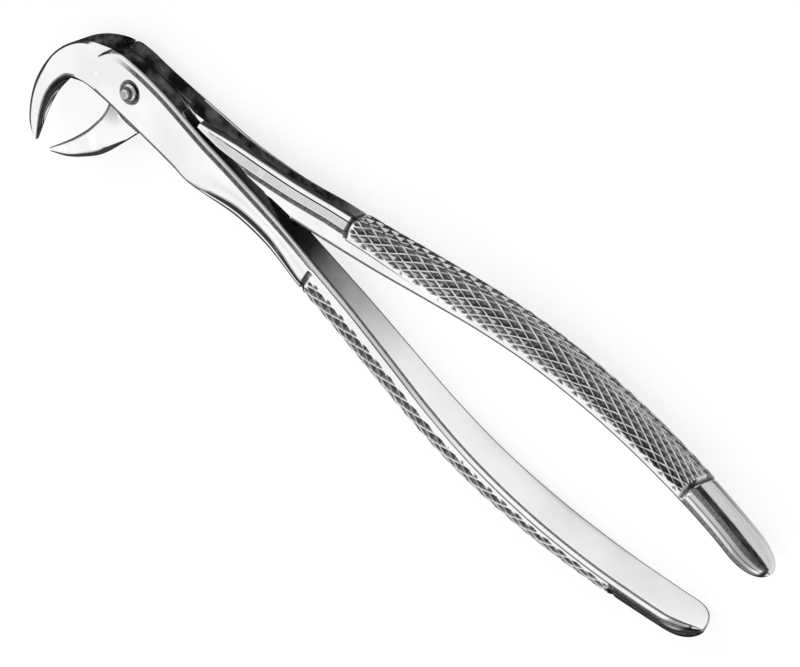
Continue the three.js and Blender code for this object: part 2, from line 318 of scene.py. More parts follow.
def resample(points, count):
    """The same line with evenly spaced points."""
    arc = arc_length(points)
    at = np.linspace(0, arc[-1], count)
    return np.column_stack([np.interp(at, arc, points[:, 0]), np.interp(at, arc, points[:, 1])])


# The rear shank's rib as shares of its corner: a flat facet, a crease and a bead.
RIB = np.array(
    [(0.0, 1.0), (0.6, 0.6), (0.68, 0.565), (0.8, 0.44), (0.9, 0.28), (0.965, 0.12), (1.0, 0.0)]
)
RIB_AT = np.array([0.0, 10, 12.5, 15.5, 18.5, 21.5, 24]) / N_CORNER

# The lower side of the front shank: a long bevel and a small round.
CROWN = np.array(
    [(0.0, 1.0), (0.58, 0.63), (0.7, 0.62), (0.86, 0.5), (0.93, 0.38), (0.975, 0.22), (1.0, 0.0)]
)
CROWN_AT = np.array([0.0, 9, 12, 15, 18, 20.5, 24]) / N_CORNER


def half_section(width, half, inner, outer, look):
    """Points (across, z) of half a section, from the middle of the inner side to that of the outer one."""
    it, iz = min(inner[0], width * 0.45), min(inner[1], half * 0.97)
    ot, oz = min(outer[0], width - it - width * 0.02), min(outer[1], half * 0.98)
    wall_top = half - iz
    line = min(EDGE_LINE, 0.15 * wall_top)
    wall_z = np.concatenate([np.linspace(0, wall_top - LINE_END * line, N_WALL - 1), [wall_top - line]])
    wall = np.column_stack([np.zeros(N_WALL), wall_z])
    angle = quarter(N_BEVEL)[:-1]
    arc = np.column_stack([it * (1 - np.cos(angle)), half - iz + iz * np.sin(angle)])
    share = np.linspace(0, 1, N_BEVEL + 1)[:-1]
    flat = np.column_stack([it * share, half - iz + iz * share])
    bevel = lerp(arc, flat, look["chamfer"])
    top_length = width - it - ot
    groove = min(GROOVE_WIDTH, 0.4 * top_length)
    line = min(EDGE_LINE, 0.15 * top_length)
    top_at = np.concatenate(
        [
            [0.0, line, LINE_END * line],
            np.linspace(LINE_END * line, top_length - groove, N_TOP - GROOVE_POINTS - 1)[1:-1],
            np.linspace(top_length - groove, top_length, GROOVE_POINTS + 1)[:-1],
        ]
    )
    top = np.column_stack([it + top_at, np.full(N_TOP, half)])
    angle = quarter(N_CORNER)[:-1]
    ellipse = np.column_stack([width - ot + ot * np.sin(angle), half - oz + oz * np.cos(angle)])
    share = np.arange(N_CORNER) / N_CORNER

    def shaped(shape, at):
        across, up = (np.interp(share, at, shape[:, i]) for i in (0, 1))
        return np.column_stack([width - ot + ot * across, half - oz + oz * up])

    corner = lerp(lerp(ellipse, shaped(RIB, RIB_AT), look["rib"]), shaped(CROWN, CROWN_AT), look["crown"])
    side_z = np.linspace(half - oz, 0, N_SIDE + 1)
    side = np.column_stack([np.full(N_SIDE + 1, width), side_z])
    out = np.vstack([top, corner, side])
    if look["even"] > 0:
        out = lerp(out, resample(out, N_OUT + 1), look["even"])
    if look["tail"] > 0:
        out = lerp(out, tail_points(width, half, it), look["tail"])
    return np.vstack([wall, bevel, out])


def tail_points(width, half, it):
    """The outer part of a handle end: a broad outer facet, a sharp ridge line and a hollowed side."""
    k = np.arange(RIDGE_LINE + 1) / RIDGE_LINE
    ridge = np.array([0.92 * width, 0.58 * half])
    facet = np.column_stack([width - (width - ridge[0]) * k**2.6, ridge[1] * k])
    k = np.arange(1, N_OUT - RIDGE_LINE + 1) / (N_OUT - RIDGE_LINE)
    swell = np.sin(np.pi * k) * 0.085
    ramp = np.column_stack(
        [
            lerp(ridge[0], it, k) + swell * width * 0.55,
            lerp(ridge[1], half, k) + swell * half * 0.9,
        ]
    )
    return np.vstack([facet, ramp])[::-1]


def outward_normals(points):
    before = np.vstack([points[:1], points[:-1]])
    after = np.vstack([points[1:], points[-1:]])
    t = after - before
    t[0] = (0, 1)
    t[-1] = (0, -1)
    t /= np.maximum(np.linalg.norm(t, axis=1), 1e-9)[:, None]
    return np.column_stack([-t[:, 1], t[:, 0]])


def triangle_wave(x):
    """0 at whole numbers and 1 half way between them."""
    return 2 * np.abs(x - np.round(x))


def pit_depth(u, v):
    """Depth of the diamond cut at u and v, counted in diamonds along and across."""
    t = np.minimum(triangle_wave(u + v), triangle_wave(u - v))
    share = np.clip((t - RIDGE) / (1 - RIDGE), 0, 1)
    return PIT_DEPTH * (1 - (1 - share) ** PIT_CURVE)


# Dark stripes of painted shade on the side of a handle end: mesh steps from its ridge, and the shade there
TAIL_STRIPES = (
    [0, 1, 9, 12, 18, 19, 20, 21, 26, 29, 36],
    [0.95, 0.95, 0.9, 0.0, 0.0, 0.9, 0.9, 0.0, 0.0, 0.9, 0.95],
)


def bright_facet(u, v):
    """1 on the one facet of each pit that stays bright, as its lit side, with less painted shade; 0 on the
    others.
    """
    a, b = u + v, u - v
    nearest = triangle_wave(b) < triangle_wave(a)
    return (nearest & ((b - np.floor(b)) < 0.5)).astype(float)


def dip(x, start, low, end):
    """0 outside start..end and 1 at low, in straight lines."""
    return float(np.interp(x, [start, low, end], [0, 1, 0]))


# Halves


def section_look(name, x, y, s, grip):
    """How far a section shows each feature, from its x and its place s on the grip (below 0 before it)."""
    k0, k1 = grip["knurl"]
    knurl_in = rise(s, (k0 + BEFORE_KNURL[0], k0 + BEFORE_KNURL[1]))
    before_knurl = 1 - knurl_in
    front = name == "front"
    return {
        "even": knurl_in * fall(s, (k1 + AFTER_KNURL[0], k1 + AFTER_KNURL[1])),
        "tail": rise(s, (k1 + TAIL_IN[0], k1 + TAIL_IN[1])),
        "rib": 0.0 if front else rise(x, RIB_IN) * before_knurl,
        "crown": rise(x, CROWN_IN) * before_knurl if front else 0.0,
        "chamfer": rise(x, CHAMFER_IN) if front else 0.0,
        "before_knurl": before_knurl,
        "s": s,
        "x": x,
        "y": y,
    }


def darken(shade, places, level):
    shade[places] = np.maximum(shade[places], level)


def rear_rib(look, k):
    """Relief and shade of the groove, crease and facet of the rear shank."""
    amount = rise(look["x"], RIB_GROOVE_IN) * look["before_knurl"]
    span = np.clip((k - RIB_EDGE) / GROOVE_POINTS, 0, 1)
    groove = np.sin(np.pi * span) ** 1.2
    out = amount * 0.55 * groove
    out[CREASE] += amount * 0.34
    out[CREASE - 1] += amount * 0.06
    shade = amount * np.clip(groove * 4, 0, 1)
    shade[CREASE] = amount
    darken(shade, (k > CREASE + 1) & (k < RIB_EDGE), amount * 0.28)
    out += amount * 0.12 * smooth(k, RIB_EDGE + 2, RIB_EDGE + GROOVE_POINTS)
    return out, shade


def front_crease(look, k):
    """Relief and shade of the crease, the lower edge and a faint streak on the front shank."""
    amount = rise(look["x"], FRONT_CREASE_IN) * look["before_knurl"]
    out = np.zeros(len(k))
    shade = np.zeros(len(k))
    out[RIB_EDGE] = amount * 0.1
    shade[RIB_EDGE] = 0.9 * amount
    shade[CROWN_SHADE] = 0.95 * amount
    streak = (k - RIB_EDGE) / N_TOP
    shade += 0.1 * amount * np.exp(-(((streak - 0.45) / 0.13) ** 2)) * (k > RIB_EDGE)
    return out, shade


def add_knurl(name, s, grip, k, arc, out, shade):
    """Adds the diamond cut and the grooves at its ends to the relief and the shade.

    arc is the length from the middle of the outer side to each point.
    """
    k0, k1 = grip["knurl"]
    total = arc[-1]
    start_margin = smooth(s, k0, k0 + MARGIN_RUN[name])
    cut_to = total - lerp(*MARGIN[name], float(start_margin))
    groove_to = total - 0.8 if name == "front" else cut_to
    band = 1 - smooth(arc, groove_to - 0.25, groove_to + 0.15)
    start_groove = band * dip(s, *(k0 + at for at in START_GROOVE))
    end_groove = dip(s, *(k1 + at for at in END_GROOVE)) * (1 - smooth(arc, total - 0.5, total))
    # The grooves at both ends get painted shade as well as their depth.
    for groove, depth in ((start_groove, START_GROOVE_DEPTH), (end_groove, END_GROOVE_DEPTH)):
        out += depth * groove
        np.maximum(shade, np.clip(GROOVE_SHADE * groove, 0, 0.95), out=shade)
    step_down = STEP_DOWN * float(1 - start_margin) * rise(s, (k0 + START_GROOVE[0], k0 - 0.4))
    out += step_down * smooth(arc, cut_to - 0.1, cut_to + 0.3)
    if k0 <= s <= k1:
        u = (s - k0) / PITCH
        run_out = PIT_DEPTH * np.clip((arc - cut_to) / RUN_OUT[name] + 1, 0, 1)
        ends = PIT_DEPTH * max(0.0, 1 - (s - k0) / CUT_ENDS, 1 - (k1 - s) / CUT_ENDS)
        pits = np.maximum(pit_depth(u, k / CELL) - run_out - ends, 0)
        out += pits
        # Painted shade in the pits, growing with their depth and standing partly for polish residue; each
        # pit's bright facet, its lit side, keeps less of it.
        facet_shade = lerp(1.0, BRIGHT_SHARE[name], bright_facet(u, k / CELL))
        np.maximum(shade, np.clip(pits / PIT_DEPTH * PIT_DARKNESS, 0, 1) * facet_shade, out=shade)


def add_edge_lines(name, look, depth, painted_shade):
    """Adds painted shade: thin dark lines along edges, dark corners and the dark wall at the slot. depth and
    painted_shade run from the middle of the inner side.
    """
    x, s = look["x"], look["s"]
    top = N_WALL + N_BEVEL  # the first point after the bevel
    wall_line = 0.95 * rise(x, WALL_LINE_IN)
    corner = np.arange(N_HALF - N_SIDE - N_CORNER, N_HALF - N_SIDE + 1)
    if name == "rear":
        painted_shade[N_WALL : top + 1] = wall_line
        if look["y"] < 0 and x < 3:
            painted_shade[corner[0] - 1 : corner[-1]] = 0.9
        return
    painted_shade[[N_WALL - 1, N_WALL, N_WALL + 1, top, top + 1]] = wall_line
    darken(painted_shade, corner, fall(x, CORNER_SHADE_OUT) * 0.85)
    line = rise(x, PLATE_LINE_IN)
    depth[top] += 0.06 * line
    darken(painted_shade, slice(top - 2, top + 2), line * fall(s, PLATE_LINE_OUT))
    darken(painted_shade, slice(N_WALL, N_WALL + 2), (0.95 * line, 0.5 * line))
    # Painted shade on the inner wall along the slot between the halves.
    darken(painted_shade, slice(N_WALL), 0.75 * (rise(x, SLOT_IN) * fall(x, SLOT_OUT)))


def displacement(name, grip, look, points, beak):
    """Depth below the smooth section, and painted shade from 0 to 1, at each point of a half section."""
    k = np.arange(N_OUT + 1)  # counted from the middle of the outer side
    out, shade = (rear_rib if name == "rear" else front_crease)(look, k)
    outer = points[::-1][: N_OUT + 1]
    arc = arc_length(outer)
    k0, k1 = grip["knurl"]
    if k0 + KNURL_REACH[0] < look["s"] < k1 + KNURL_REACH[1]:
        add_knurl(name, look["s"], grip, k, arc, out, shade)
    if beak > 0:
        half = max(points[:, 1].max(), 0.01)
        out += beak * np.clip(1 - (outer[:, 1] / (half * BEAK_HOLLOW["width"])) ** 2, 0, 1)
    tail = look["tail"]
    if tail > 0:
        # Painted shade on a handle end: its outer facet a little grey, its side in dark stripes.
        darken(shade, slice(RIDGE_LINE - 1), 0.2 * tail)
        stripes = np.interp(k - RIDGE_LINE, *TAIL_STRIPES) * (k >= RIDGE_LINE)
        shade = np.maximum(shade, tail * stripes)
    depth, painted_shade = np.zeros(N_HALF + 1), np.zeros(N_HALF + 1)
    depth[N_HALF - N_OUT :] = out[::-1]
    painted_shade[N_HALF - N_OUT :] = shade[::-1]
    add_edge_lines(name, look, depth, painted_shade)
    return depth, painted_shade


def stations_of(name, grip, line, listed):
    """Every section of a half as a station row and its place on the grip (below 0 before the grip)."""
    first = [grip_station(grip, line, s) for s in (0.0, 1.5, 3.0)]
    rows = np.vstack([np.array(listed, float), first])
    knots = centripetal_knots(rows[:, :5])
    fine = np.linspace(0, knots[len(listed)], 3000)
    path = catmull(rows, knots, fine)
    middle = (path[:, 0:2] + path[:, 2:4]) / 2
    arc = arc_length(middle)
    count = int(arc[-1] / SECTION_STEP)
    at = np.interp(np.linspace(0, arc[-1], count + 1), arc, fine)
    shank = catmull(rows, knots, at)
    shank_s = np.linspace(-arc[-1], 0, count + 1)
    k0, k1 = grip["knurl"]
    cut_steps = round((k1 - k0) / PITCH * CELL)
    before = np.arange(0.16, k0 - 0.01, 0.16)
    knurl = k0 + np.arange(cut_steps + 1) * PITCH / CELL
    k1_exact = knurl[-1]  # the knurling ends on a whole mesh step
    rest = np.arange(k1_exact + 0.12, k1_exact + 1.6, 0.12)
    round_start = line.length - grip["round"]
    plain = np.linspace(rest[-1] + 0.4, round_start, int((round_start - rest[-1]) / 0.45))
    cap = line.length - grip["round"] * (1 - np.sin(np.linspace(0, math.pi / 2, 34)[1:-1]))
    places = np.concatenate([before, knurl, rest, plain, cap])
    grips = [grip_station(grip, line, s) for s in places]
    grip["knurl"] = (k0, k1_exact)
    return np.vstack([shank, grips]), np.concatenate([shank_s, places])


def build_half(name, listed):
    """A forging as rings of points, and the mesh faces between them."""
    grip = GRIP[name]
    line = InnerLine(grip["inner"], grip["side"])
    stations, places = stations_of(name, grip, line, listed)
    size = 2 * N_HALF
    rings, painted_shades = [], []
    start = places[0]
    for row, s in zip(stations, places):
        inner, outer = row[0:2], row[2:4]
        across = outer - inner
        width = np.linalg.norm(across)
        x = inner[0] if s >= 0 else (inner[0] + outer[0]) / 2
        look = section_look(name, x, (inner[1] + outer[1]) / 2, s, grip)
        beak = 0.0
        if s < 0:
            beak = BEAK_HOLLOW["depth"] * rise(s - start, BEAK_HOLLOW["in"])
            beak *= fall(s - start, BEAK_HOLLOW["out"])
        half = half_section(width, row[4], row[5:7], row[7:9], look)
        depth, painted_shade = displacement(name, grip, look, half, beak)
        half = half - outward_normals(half) * depth[:, None]
        half[0, 1] = half[-1, 1] = 0.0
        unit = across / width
        front = np.column_stack([inner + half[:, :1] * unit, half[:, 1]])
        back = front[1:-1][::-1] * (1, 1, -1)
        if name == "rear":
            front[:, 2] *= hollow_share(front[:, 0], front[:, 1], row[4])
        else:
            back[:, 2] *= 1 - BEAK_SQUEEZE * fall(x, BEAK_SQUEEZE_OUT)
        rings.append(np.vstack([front, back]))
        painted_shades.append(np.concatenate([painted_shade, painted_shade[1:-1][::-1]]))
    rings = np.array(rings)
    faces = ring_faces(rings, places, grip["knurl"])
    points = rings.reshape(-1, 3)
    painted_shade = np.concatenate(painted_shades)
    points = np.vstack([points, rings[0].mean(0), rings[-1].mean(0)])
    painted_shade = np.concatenate([painted_shade, [0, 0]])
    first, last, base = len(points) - 2, len(points) - 1, (len(rings) - 1) * size
    for j in range(size):
        n = (j + 1) % size
        faces.append((n, j, first))
        faces.append((base + j, base + n, last))
    return points, faces, painted_shade


def flare_height(r):
    """Height of the hollow that leads down under the joint plate, at r from the hinge."""
    return -LAP_GAP + FLARE_RISE * np.sin(np.clip((r - FLARE[0]) / (FLARE[1] - FLARE[0]), 0, 1) * math.pi / 2)


def hollow_share(x, y, half):
    """How far the upper side of the lower beak's root comes down to the hollow."""
    r = np.hypot(x, y)
    top = np.maximum(flare_height(r) - 0.03, 0.05)
    share = np.minimum(top / half, 1.0)
    near = (1 - smooth(y, -5.5, -4.0)) * (1 - smooth(r, FLARE[1] - 0.5, FLARE[1]))
    return 1 - (1 - share) * near


def ring_faces(rings, places, knurl):
    """Faces between the rings: quads, and triangles split along the ridges inside the knurling."""
    size = rings.shape[1]
    j = np.arange(size)
    n = (j + 1) % size
    near = j < N_HALF
    v = np.where(near, N_HALF - j - 0.5, j - N_HALF + 0.5) / CELL
    faces = []
    for i in range(len(rings) - 1):
        p, q, r, t = i * size + j, i * size + n, (i + 1) * size + n, (i + 1) * size + j
        middle = (places[i] + places[i + 1]) / 2
        if not knurl[0] < middle < knurl[1]:
            faces += np.column_stack([p, q, r, t]).tolist()
            continue
        u = (middle - knurl[0]) / PITCH
        falling = triangle_wave(u + v) <= triangle_wave(u - v)
        one = falling == near
        faces += np.column_stack([p, q, np.where(one, r, t)]).tolist()
        faces += np.column_stack([np.where(one, p, q), r, t]).tolist()
    return faces


# Meshes


def mesh_object(name, points, faces, painted_shade=None):
    mesh = bpy.data.meshes.new(name)
    mesh.from_pydata(np.asarray(points, float).tolist(), [], faces)
    if signed_volume(points, faces) < 0:
        mesh.flip_normals()
    if painted_shade is not None:
        # painted_shade: how much painted shade, a near-black colour in the steel, each vertex gets, standing
        # for shade and dark reflections
        layer = mesh.attributes.new("painted_shade", "FLOAT", "POINT")
        layer.data.foreach_set("value", np.asarray(painted_shade, np.float32))
    mesh.update()
    piece = bpy.data.objects.new(name, mesh)
    bpy.context.scene.collection.objects.link(piece)
    return piece


def signed_volume(points, faces):
    points = np.asarray(points, float)
    total = 0.0
    for corners in (3, 4):
        same = np.array([f for f in faces if len(f) == corners], int)
        if len(same):
            for i in range(1, corners - 1):
                a, b, c = points[same[:, 0]], points[same[:, i]], points[same[:, i + 1]]
                total += float(np.einsum("ij,ij->", a, np.cross(b, c)))
    for face in (f for f in faces if len(f) > 4):
        for i in range(1, len(face) - 1):
            total += float(np.dot(points[face[0]], np.cross(points[face[i]], points[face[i + 1]])))
    return total


def prism(name, outline, low, high):
    count = len(outline)
    points = [(x, y, low) for x, y in outline] + [(x, y, high) for x, y in outline]
    faces = [tuple(range(count)), tuple(range(count, 2 * count))[::-1]]
    faces += [(i, (i + 1) % count, count + (i + 1) % count, count + i)[::-1] for i in range(count)]
    return mesh_object(name, points, faces)


def turned(name, profile, segments, painted_shade=None):
    """A solid of revolution about z. The profile starts and ends on the axis."""
    points = [(0, 0, profile[0][1])]
    for radius, z in profile[1:-1]:
        for i in range(segments):
            angle = 2 * math.pi * i / segments
            points.append((radius * math.cos(angle), radius * math.sin(angle), z))
    points.append((0, 0, profile[-1][1]))
    rings = len(profile) - 2
    faces = []
    for i in range(segments):
        n = (i + 1) % segments
        faces.append((0, 1 + n, 1 + i))
        for r in range(rings - 1):
            a, b = 1 + r * segments, 1 + (r + 1) * segments
            faces.append((a + i, a + n, b + n, b + i))
        end = 1 + (rings - 1) * segments
        faces.append((end + i, end + n, len(points) - 1))
    if painted_shade is not None:
        painted_shade = np.concatenate([painted_shade[:1], np.repeat(painted_shade[1:-1], segments), painted_shade[-1:]])
    return mesh_object(name, points, faces, painted_shade)


def read_mesh(mesh):
    """The painted shade layer, its values, and the x, y and z of every vertex."""
    layer = mesh.attributes["painted_shade"].data
    values = np.empty(len(layer), np.float32)
    layer.foreach_get("value", values)
    places = np.empty(len(mesh.vertices) * 3, np.float32)
    mesh.vertices.foreach_get("co", places)
    return layer, values, *places.reshape(-1, 3).T


def paint_recess_shade(mesh, level):
    """Paints shade on the lapped face at the given height and on the rear lip's ramp, in the recess between
    the halves.
    """
    layer, values, x, y, z = read_mesh(mesh)
    values[np.abs(z - level) < 0.01] = 0.8
    start, end = LIP_RAMP
    slope = (LIP_RAMP_TOP + LAP_GAP) / (end - start)
    on_ramp = np.abs(z + LAP_GAP - (x - start) * slope) < 0.01
    values[on_ramp & (level < 0) & (y > 1) & (x > start) & (x < end)] = 0.75
    layer.foreach_set("value", values)


def paint_seat_shade(mesh):
    """Paints shade on the ring round the screw's head and on the wall of the notch beside the joint plate."""
    layer, values, x, y, z = read_mesh(mesh)
    r = np.hypot(x, y)
    values[(r < SEAT["dark"]) & (z > PLATE_FACE - 0.4)] = 1.0
    first, last = NOTCH["angles"]
    share = (np.degrees(np.arctan2(y, x)) - first) / (last - first)
    start = lerp(*NOTCH["radii"], share)
    slope = 0.15 + NOTCH["slope"] * NOTCH["depth"] * np.clip(1 - share, 0, 1)
    inside = (share > -0.1) & (share < 0.94) & (r > start + 0.02) & (r < start + slope + 0.02) & (z > 1.5)
    values[inside] = 0.95
    layer.foreach_set("value", values)


def cut(piece, *cutters):
    for cutter in cutters:
        step = piece.modifiers.new("cut", "BOOLEAN")
        step.operation = "DIFFERENCE"
        step.solver = "MANIFOLD"
        step.object = cutter
    graph = bpy.context.evaluated_depsgraph_get()
    made = bpy.data.meshes.new_from_object(piece.evaluated_get(graph))
    made.materials.clear()  # the cut leaves an empty slot for each cutter
    made.polygons.foreach_set("material_index", [0] * len(made.polygons))
    piece.modifiers.clear()
    piece.data = made
    for cutter in cutters:
        bpy.data.objects.remove(cutter)


def lap_outline(side, name):
    """Outline of a lap recess: a half circle behind the hinge and the lip's inner wall in front of it."""
    steps = 48
    points = []
    for i in range(steps + 1):
        angle = -math.pi / 2 - math.pi * i / steps
        points.append((LAP_RADIUS * math.cos(angle), side * LAP_RADIUS * math.sin(angle)))
    points.append((LIP_START[name], side * LAP_RADIUS))
    points += [(x, side * y) for x, y in LIP_LINE[name]]
    points.append((LAP_END, -side * LAP_RADIUS))
    return points


def lip_ramp(name, start, end):
    """Takes the start of a lip down in a slope, so that it rises out of the lapped face."""
    across = (1.0, 9.0)
    top = 9.0
    points = []
    for x, z in ((start - 3.0, -LAP_GAP), (start, -LAP_GAP), (end, LIP_RAMP_TOP)):
        points += [(x, y, z) for y in across]
        points += [(x, y, top) for y in across]
    faces = [(2, 3, 1, 0), (8, 9, 11, 10)]
    for k in (0, 4):
        for a, b in ((0, 1), (1, 3), (3, 2), (2, 0)):
            faces.append((k + a, k + b, k + b + 4, k + a + 4))
    return mesh_object(name, points, faces)


def boss_cutter(name, angles, radius, drops, width):
    """Takes the front face down beside the round joint plate.

    radius and drops are the step's radius and height at each of the angles. The step is width times as
    wide as it is high.
    """
    slope = np.array([0.0, 0.25, 0.5, 0.75, 1.0])
    beyond = np.array([0.08, 1, 2, 4, 6, 8, 11, 14])
    low = []
    for a, start, drop in zip(np.radians(angles), radius, drops):
        foot = start + 0.15 + drop * width
        on_step = start + (foot - start) * slope
        falls = [(r, float(drop * smooth(r, start - 0.05, foot + 0.05))) for r in on_step]
        falls += [(r, drop + 0.07 * (r - foot)) for r in foot + beyond]
        for r, down in falls:
            low.append((r * math.cos(a), r * math.sin(a), PLATE_FACE + 0.004 - down))
    high = [(x, y, 8.0) for x, y, z in low]
    na, nr = len(angles), len(slope) + len(beyond)
    points = low + high
    faces = []
    for i in range(na - 1):
        for j in range(nr - 1):
            p = i * nr + j
            faces.append((p, p + 1, p + nr + 1, p + nr))
            q = p + na * nr
            faces.append((q, q + nr, q + nr + 1, q + 1))
    top = na * nr
    for i in range(na - 1):
        p, q = i * nr, (i + 1) * nr
        faces.append((p, q, q + top, p + top))
        p, q = p + nr - 1, q + nr - 1
        faces.append((q, p, p + top, q + top))
    for j in range(nr - 1):
        faces.append((j + 1, j, j + top, j + 1 + top))
        p = (na - 1) * nr + j
        faces.append((p, p + 1, p + 1 + top, p + top))
    return mesh_object(name, points, faces)


def boss_cutters():
    turn = np.linspace(*NOTCH["angles"], 50)
    share = (turn - turn[0]) / (turn[-1] - turn[0])
    radii = lerp(*NOTCH["radii"], share)
    depth = NOTCH["depth"] * (1 - share)
    ring = np.linspace(140, 232, 60)
    faint = BOSS_STEP * (1 - smooth(ring, 210, 232))
    return (
        boss_cutter("notch", turn, radii, depth, NOTCH["slope"]),
        boss_cutter("flank", ring, np.full(len(ring), BOSS_RADIUS), faint, 16.0),
    )


def finish_mesh(piece, sharp_angle):
    mesh = piece.data
    mesh.transform(Matrix.Translation(HINGE) @ Matrix.Scale(MM, 4))
    mesh.shade_smooth()
    mesh.set_sharp_from_angle(angle=math.radians(sharp_angle))
    mesh.update()


# Materials


class Nodes:
    """Short calls for building a node tree."""

    def __init__(self, material):
        material.use_nodes = True
        self.tree = material.node_tree
        self.tree.nodes.clear()

    def add(self, kind, inputs=(), **settings):
        node = self.tree.nodes.new(kind)
        for key, value in settings.items():
            setattr(node, key, value)
        for key, value in dict(inputs).items():
            if isinstance(value, bpy.types.NodeSocket):
                self.tree.links.new(value, node.inputs[key])
            else:
                node.inputs[key].default_value = value
        return node

    def math(self, operation, a, b=0.0, clamp=False):
        return self.add("ShaderNodeMath", {0: a, 1: b}, operation=operation, use_clamp=clamp).outputs[0]

    def range(self, value, low, high, to_low, to_high, **settings):
        ends = {"From Min": low, "From Max": high, "To Min": to_low, "To Max": to_high}
        return self.add("ShaderNodeMapRange", {"Value": value, **ends}, **settings).outputs[0]

    def noise(self, place, scale, detail, roughness):
        inputs = {"Vector": place, "Scale": scale, "Detail": detail, "Roughness": roughness}
        return self.add("ShaderNodeTexNoise", inputs).outputs[0]

    def mix(self, share, a, b):
        node = self.add("ShaderNodeMix", data_type="RGBA")
        for key, value in ((0, share), (6, a), (7, b)):
            if isinstance(value, bpy.types.NodeSocket):
                self.tree.links.new(value, node.inputs[key])
            else:
                node.inputs[key].default_value = value
        return node.outputs[2]


HAIR_SCALE = (220.0, 2600.0, 2600.0)  # per metre, so the hairlines are long along x
HALF_STEEL = {"base": 0.86, "rough": 0.075, "grain": 0.16}
SCREW_STEEL = {"base": 0.78, "rough": 0.05, "grain": 0.08, "tint": (1.0, 1.0, 1.01)}


def steel(name, base, rough, grain, tint=(1.0, 1.0, 1.0)):
    """Polished stainless steel: clouded polish, hairlines and wear at the cut ridges, and painted shade, a
    near-black colour with more roughness, wherever the painted_shade layer is set, as in the pits.
    """
    material = bpy.data.materials.new(name)
    n = Nodes(material)
    place = n.add("ShaderNodeTexCoord").outputs["Object"]
    hair_place = n.add("ShaderNodeMapping", {"Vector": place, "Scale": HAIR_SCALE}).outputs[0]
    hair = n.noise(hair_place, 1.0, 5.0, 0.65)
    cloud = n.noise(place, 90.0, 3.0, 0.5)
    speck = n.noise(place, 2400.0, 2.0, 0.6)
    painted_shade = n.add("ShaderNodeAttribute", attribute_name="painted_shade").outputs["Fac"]
    edge = n.add("ShaderNodeNewGeometry").outputs["Pointiness"]
    wear = n.range(edge, 0.52, 0.6, 0.0, 1.0)
    bright = tuple(min(1.0, base * c * 1.05) for c in tint)
    plain = tuple(base * c for c in tint)
    dull = tuple(base * c * 0.9 for c in tint)
    shade_colour = tuple(base * c * 0.06 for c in tint)
    colour = n.mix(n.range(cloud, 0.35, 0.65, 0.0, 1.0), (*dull, 1), (*plain, 1))
    colour = n.mix(wear, colour, (*bright, 1))
    # Painted shade: the near-black colour is mixed in where the painted_shade layer is set.
    shade_mix = n.math("MULTIPLY", n.math("POWER", painted_shade, 0.85), n.range(speck, 0.3, 0.7, 0.8, 1.0), clamp=True)
    colour = n.mix(shade_mix, colour, (*shade_colour, 1))
    roughness = n.range(hair, 0.3, 0.75, rough * 0.7, rough * 1.5)
    roughness = n.math("ADD", roughness, n.range(cloud, 0.4, 0.7, 0.0, rough * 0.35))
    roughness = n.math("ADD", roughness, n.math("MULTIPLY", painted_shade, 0.16))
    roughness = n.math("ADD", roughness, n.math("MULTIPLY", wear, 0.05), clamp=True)
    height = n.math("ADD", n.math("MULTIPLY", hair, 0.8), n.math("MULTIPLY", speck, 0.35))
    bump = n.add("ShaderNodeBump", {"Strength": grain, "Distance": 0.00002, "Height": height}).outputs[0]
    shader = n.add(
        "ShaderNodeBsdfPrincipled",
        {"Base Color": colour, "Metallic": 1.0, "Roughness": roughness, "Normal": bump},
    )
    n.add("ShaderNodeOutputMaterial", {"Surface": shader.outputs[0]})
    return material


# The two halves and the screw


def bore_cutter(radius):
    far = CUTTER_REACH
    return turned("bore", [(0, -far), (radius, -far), (radius, far), (0, far)], SEGMENTS)


def seat_cutter():
    foot = PLATE_FACE - SEAT["depth"]
    rim = SEAT["rim"]
    profile = [(0, foot), (SEAT["foot"], foot), (rim, PLATE_FACE + 0.02)]
    profile += [(rim, CUTTER_REACH), (0, CUTTER_REACH)]
    return turned("seat", profile, SEGMENTS)


def make_front_half():
    piece = mesh_object("front_half_steel", *build_half("front", FRONT_STATIONS))
    cut(
        piece,
        prism("lap", lap_outline(-1, "front"), -CUTTER_REACH, LAP_GAP),
        bore_cutter(FRONT_BORE),
        seat_cutter(),
        *boss_cutters(),
    )
    paint_recess_shade(piece.data, LAP_GAP)
    paint_seat_shade(piece.data)
    finish_mesh(piece, SHARP_ANGLE)
    piece.data.materials.append(steel("polished_steel_front", **HALF_STEEL))
    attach(piece, "front_body")
    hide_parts("front_half")


def flare_cutter():
    near, far = FLARE
    profile = [(0, -LAP_GAP)]
    for t in np.linspace(0, 1, 17):
        profile.append((near + (far - near) * t, -LAP_GAP + FLARE_RISE * math.sin(t * math.pi / 2)))
    profile += [(far + 1.0, -LAP_GAP + FLARE_RISE + 0.02), (far + 3.0, CUTTER_REACH), (0, CUTTER_REACH)]
    return turned("flare", profile, 128)


def make_rear_half():
    piece = mesh_object("rear_half_steel", *build_half("rear", REAR_STATIONS))
    cut(
        piece,
        prism("lap", lap_outline(1, "rear"), -LAP_GAP, CUTTER_REACH),
        flare_cutter(),
        lip_ramp("lip_start", *LIP_RAMP),
        bore_cutter(REAR_BORE),
    )
    paint_recess_shade(piece.data, -LAP_GAP)
    finish_mesh(piece, SHARP_ANGLE)
    piece.data.materials.append(steel("polished_steel_rear", **HALF_STEEL))
    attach(piece, "rear_body")
    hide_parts("rear_half")


